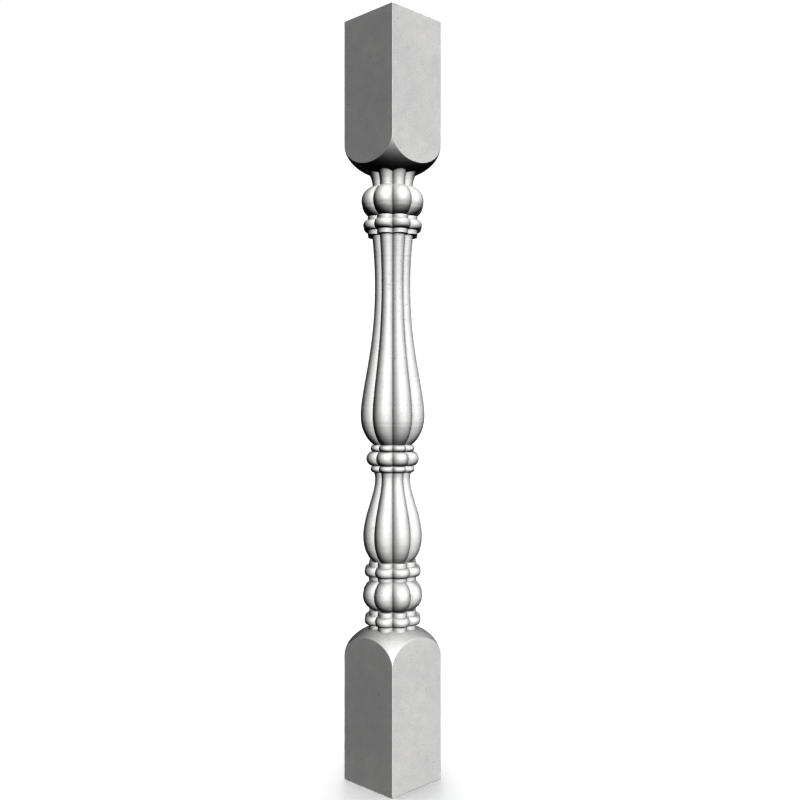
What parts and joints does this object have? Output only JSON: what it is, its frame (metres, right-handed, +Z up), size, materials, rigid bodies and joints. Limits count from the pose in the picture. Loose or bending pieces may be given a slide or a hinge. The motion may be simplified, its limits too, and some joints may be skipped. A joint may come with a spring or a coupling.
{
  "type": "stone baluster",
  "caption": "Slim stone baluster with a square block at each end, lobed turned mouldings and two vases between them, for a balustrade.",
  "frame": {"origin": "centre of the underside of the lower block", "axes": "+Z up along the axis of the turned part; X and Y square to the faces of the blocks"},
  "size_m": [0.09, 0.09, 1],
  "materials": {
    "stone": "fine-rubbed pale stone, matt"
  },
  "bodies": {
    "root": {"baluster": "stone"}
  },
  "joints": []
}
